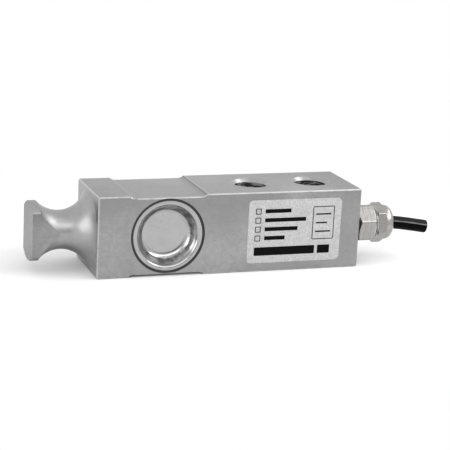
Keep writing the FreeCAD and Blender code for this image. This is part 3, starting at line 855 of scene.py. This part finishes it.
# %% Printed bar group
crisp = 0.03
bar_group, bar_in, bar_out = new_group(
    "printed_bar",
    [
        ("Across", "NodeSocketFloat", 0.0),
        ("Up", "NodeSocketFloat", 0.0),
        ("Centre across", "NodeSocketFloat", 0.0),
        ("Centre up", "NodeSocketFloat", 0.0),
        ("Half width", "NodeSocketFloat", 1.0),
        ("Half height", "NodeSocketFloat", 1.0),
        ("Corner", "NodeSocketFloat", 0.2),
    ],
    ["Ink"],
)
beyond = {}
for axis, way, size in (("X", "across", "width"), ("Y", "up", "height")):
    off_centre = calc(bar_group, "SUBTRACT", bar_in[way.capitalize()], bar_in["Centre " + way])
    reach = calc(bar_group, "SUBTRACT", bar_in["Half " + size], bar_in["Corner"])
    past = calc(bar_group, "SUBTRACT", calc(bar_group, "ABSOLUTE", off_centre), reach)
    beyond[axis] = calc(bar_group, "MAXIMUM", past, 0.0)
outside = length_of(bar_group, joined(bar_group, **beyond))
edge = calc(bar_group, "SUBTRACT", outside, bar_in["Corner"])
bar_group.links.new(ramp(bar_group, edge, -crisp, crisp, 1.0, 0.0), bar_out["Ink"])
print("group:", bar_group.name)

# %% [markdown]
# A list holds the layout, so that a bar can be moved without touching a node. Each bar is its
# centre across and up from the middle of the label, half its width, half its height and the radius
# of its corners, all in millimetres. Four rows have a box to tick, and a window on the right holds
# rules.

# %% Label layout
line_width = 0.34
row_top, row_step = 8.1, 3.6
tick_across, tick_half = -15.4, 1.2
bars_start, bar_half_height = -12.6, 0.8
window_across, window_inside = 12.0, 3.2
rule_top, rule_step, rule_half_height = 6.2, 3.5, 0.3
solid_bars = [(-3.9, -8.0, 12.7, 1.7, 0.4), (12.6, -8.0, 2.6, 1.7, 0.4)]
open_boxes = [(window_across, 2.7, 4.6, 6.7, 0.6)]
for row, half_width in enumerate((5.4, 8.6, 6.9, 4.3)):
    height = row_top - row_step * row
    open_boxes.append((tick_across, height, tick_half, tick_half, 0.3))
    solid_bars.append((bars_start + half_width, height, half_width, bar_half_height, 0.25))
for row, half_width in enumerate((3.2, 2.4, 3.2)):
    rule_across = window_across - window_inside + half_width
    rule_up = rule_top - rule_step * row
    solid_bars.append((rule_across, rule_up, half_width, rule_half_height, 0.1))
print("printed bars:", len(solid_bars), "boxes:", len(open_boxes))

# %% [markdown]
# The ink is one mask: the highest of all bars at a point. It could be a picture wrapped on the
# film, but bars from nodes stay sharp at any size.

# %% Label print
label_centre = (0.75, 16.1)
smallest_corner = 0.02
film, tree, shader, place, parts = start("label_film", grey(0.6), 0.36, 0.0)
shader.inputs["Specular IOR Level"].default_value = 0.06
across = calc(tree, "SUBTRACT", calc(tree, "DIVIDE", parts["X"], MM), label_centre[0])
upwards = calc(tree, "SUBTRACT", calc(tree, "DIVIDE", parts["Z"], MM), label_centre[1])


def printed(tree, bar, shrink=0.0):
    """Ink of one bar, or of a smaller one inside it."""
    centre_across, centre_up, half_width, half_height, corner = bar
    return use_group(
        tree, bar_group, Across=across, Up=upwards,
        Centre_across=centre_across, Centre_up=centre_up,
        Half_width=half_width - shrink, Half_height=half_height - shrink,
        Corner=max(corner - shrink, smallest_corner),
    )["Ink"]


shapes = [printed(tree, bar) for bar in solid_bars]
for box in open_boxes:
    shapes.append(calc(tree, "SUBTRACT", printed(tree, box), printed(tree, box, line_width)))
ink = chain(tree, "MAXIMUM", *shapes)
print("material:", film.name, len(shapes), "printed shapes")

# %% [markdown]
# The film itself has fine flecks of lighter and darker grey. The ink lies on it as a thin, duller
# layer, so it also changes the roughness and the height.

# %% Label film
ink_rough, ink_height = 0.12, 0.6
skin = use_group(tree, grain, Vector=place, Lines=(2200.0, 2200.0, 2200.0), Clouds=420.0)
soft_flecks = calc(tree, "MULTIPLY", skin["Clouds"], 0.4)
flecks = calc(tree, "MULTIPLY_ADD", skin["Lines"], 1.2, soft_flecks)
paper = mixed(tree, ramp(tree, flecks, 0.6, 1.0), grey(0.36), grey(0.51))
feed(tree, shader.inputs["Base Color"], mixed(tree, ink, paper, grey(0.002)))
sheen = ramp(tree, skin["Clouds"], 0.3, 0.7, 0.3, 0.42)
feed(tree, shader.inputs["Roughness"], calc(tree, "MULTIPLY_ADD", ink, ink_rough, sheen))
bump(tree, shader, calc(tree, "MULTIPLY_ADD", ink, ink_height, skin["Lines"]), 3.0)
print("material:", film.name, len(tree.nodes), "nodes")

# %% [markdown]
# Now each CAD node and each new piece gets its finish. The CAD meshes stay untouched: only their
# material slots change.

# %% Give out the finishes
finishes = {
    "beam_body": steel, "front_seal_cup": cup_steel, "rear_seal_cup": cup_steel,
    "front_seal_bead": rubber, "rear_seal_bead": rubber,
    "front_gauge": gauge_film, "rear_gauge": gauge_film,
    "front_terminal": terminal_board, "rear_terminal": terminal_board,
    "balance_board": circuit_board, "trim_resistors": resistor_body, "bridge_jumpers": copper,
    "red_lead": insulation["red"], "black_lead": insulation["black"],
    "green_lead": insulation["green"], "white_lead": insulation["white"],
    "cable_shield": copper, "cable_jacket": sheath,
    "gland_gasket": rubber, "gland_body": nickel, "gland_claw": claw, "gland_seal": rubber,
    "gland_nut": nickel, "identification_label": film,
}
for name, finish in finishes.items():
    for slot in nodes[name].material_slots:
        slot.link = "OBJECT"
        slot.material = finish
cable_mesh.materials.clear()
cable_mesh.materials.append(sheath)
strand_mesh.materials.append(copper)
print("finished nodes:", len(finishes), "without a finish:", sorted(set(nodes) - set(finishes)))
print("slots per node:", sorted({len(nodes[name].material_slots) for name in finishes}))

# %% [markdown]
# The set is a wide pale floor under the beam. It lies a hair below the beam's underside, so that
# the two faces never fight for the same place.

# %% Floor
beam_middle_x = -0.03
floor_radius = 1.6
floor_sides = 96
floor_gap = 0.00005
floor_shape = bmesh.new()
bmesh.ops.create_circle(floor_shape, cap_ends=True, segments=floor_sides, radius=floor_radius)
bmesh.ops.translate(floor_shape, verts=floor_shape.verts, vec=(beam_middle_x, 0.0, -floor_gap))
floor_mesh = finished_mesh(floor_shape, "floor")
floor = add_object("floor", floor_mesh)
print("floor radius", floor_radius, "m")

# %% [markdown]
# Near the beam the floor is plain and keeps the shadow. Further off it fades to white. Camera,
# glossy and transmission rays see that white, so the background is white and metal mirrors a white
# room, and all other rays meet the plain floor. The fade is an oval, longer along the beam than
# across it.

# %% Floor finish
def sees_background(tree):
    """1 for rays that should meet the white background."""
    path = tree.nodes.new("ShaderNodeLightPath").outputs
    rays = (path["Is Camera Ray"], path["Is Glossy Ray"], path["Is Transmission Ray"])
    return chain(tree, "MAXIMUM", *rays)


fade_from = 0.1
fade_to = 0.27
depth_share = 1.6
pale, tree, shader, place, parts = start("pale_floor", grey(0.96), 0.9)
shader.inputs["Specular IOR Level"].default_value = 0.0
oval = scaled(tree, place, (1.0, depth_share, 1.0))
from_beam = vector_calc(tree, "DISTANCE", oval, (beam_middle_x, 0.0, 0.0))["Value"]
far_off = ramp(tree, from_beam, fade_from, fade_to)
white = tree.nodes.new("ShaderNodeEmission")
blend = tree.nodes.new("ShaderNodeMixShader")
tree.links.new(calc(tree, "MULTIPLY", far_off, sees_background(tree)), blend.inputs[0])
tree.links.new(shader.outputs[0], blend.inputs[1])
tree.links.new(white.outputs[0], blend.inputs[2])
tree.links.new(blend.outputs[0], tree.nodes["Material Output"].inputs["Surface"])
floor_mesh.materials.append(pale)
print("material:", pale.name, "white from", fade_to, "m on")

# %% [markdown]
# The room is white in the same way: the rays that show or mirror it see full white. Dull surfaces
# get a little less light from it, which leaves something for the lamps to add.

# %% White room
room_light = 0.82
room = bpy.data.worlds.new("white_room")
bpy.context.scene.world = room
room.use_nodes = True
tree = room.node_tree
sky = tree.nodes["Background"]
sky.inputs["Color"].default_value = grey(1.0)
lit = tree.nodes.new("ShaderNodeMapRange")
feed(tree, lit.inputs["Value"], sees_background(tree))
lit.inputs["To Min"].default_value = room_light
lit.inputs["To Max"].default_value = 1.0
tree.links.new(lit.outputs[0], sky.inputs["Strength"])
print("room light", room_light)

# %% [markdown]
# Five soft boxes light it, and each has a job on the metal. A bright key on the right makes the spot
# on the spool and lights the gland, and a smaller one behind it lights the chamfers of the holes. A
# wide one above the camera lights the throat, the cup and the label, one low on the left runs down
# the flare, and a faint one from high up picks out the long top edge of the block.

# %% Soft boxes
beam_middle = Vector((beam_middle_x, 0.0, 0.016))
lamp_distance = 0.7


def soft_box(name, azimuth, elevation, width, height, brightness):
    """A rectangular lamp aimed at the beam, with a brightness where 1 is white."""
    lamp = bpy.data.lights.new(name, "AREA")
    lamp.shape = "RECTANGLE"
    lamp.size, lamp.size_y = width, height
    lamp.energy = brightness * math.pi * width * height
    holder = add_object(name, lamp)
    way = direction(azimuth, elevation)
    aim = (-way).to_track_quat("-Z", "Y").to_matrix().to_4x4()
    holder.matrix_world = Matrix.Translation(beam_middle + way * lamp_distance) @ aim
    print(f"{name}: {lamp.energy:.2f} W, {width} x {height} m")


soft_box("key_box", azimuth=65, elevation=38, width=0.28, height=0.28, brightness=5.2)
soft_box("rim_box", azimuth=96, elevation=44, width=0.24, height=0.2, brightness=2.4)
soft_box("front_box", azimuth=10, elevation=36, width=0.95, height=0.27, brightness=1.8)
soft_box("left_box", azimuth=-72, elevation=14, width=0.55, height=0.36, brightness=2.4)
soft_box("top_box", azimuth=56, elevation=64, width=0.3, height=0.3, brightness=0.35)

# %% [markdown]
# Polished metal looks like metal only where it mirrors something dark beside something bright. A
# dark card stands far behind the camera, low down, as the photographer's side of a studio does.
# Only reflections see it, so it never shows as a shape of its own.

# %% Dark card behind the camera
card_distance = 1.5
card_left, card_right, card_top = -0.6, 0.62, 0.33
upright = Matrix.Rotation(math.radians(90), 3, "X")
card_middle = ((card_left + card_right) / 2, -card_distance, card_top / 2)
card_shape = bmesh.new()
bmesh.ops.create_grid(card_shape, x_segments=1, y_segments=1, size=0.5)
bmesh.ops.scale(card_shape, verts=card_shape.verts, vec=(card_right - card_left, card_top, 1.0))
bmesh.ops.rotate(card_shape, verts=card_shape.verts, matrix=upright)
bmesh.ops.translate(card_shape, verts=card_shape.verts, vec=card_middle)
card_mesh = finished_mesh(card_shape, "dark_card")
card = add_object("dark_card", card_mesh)
card.visible_camera = False
card.visible_diffuse = False
card.visible_shadow = False
dark_cloth = start("dark_cloth", grey(0.1), 1.0)[0]
card_mesh.materials.append(dark_cloth)
print("card corners:", [tuple(round(x, 2) for x in corner.co) for corner in card_mesh.vertices])

# %% [markdown]
# The last cell sets the plain view transform.

# %% Finish
bpy.context.scene.view_settings.view_transform = "Standard"
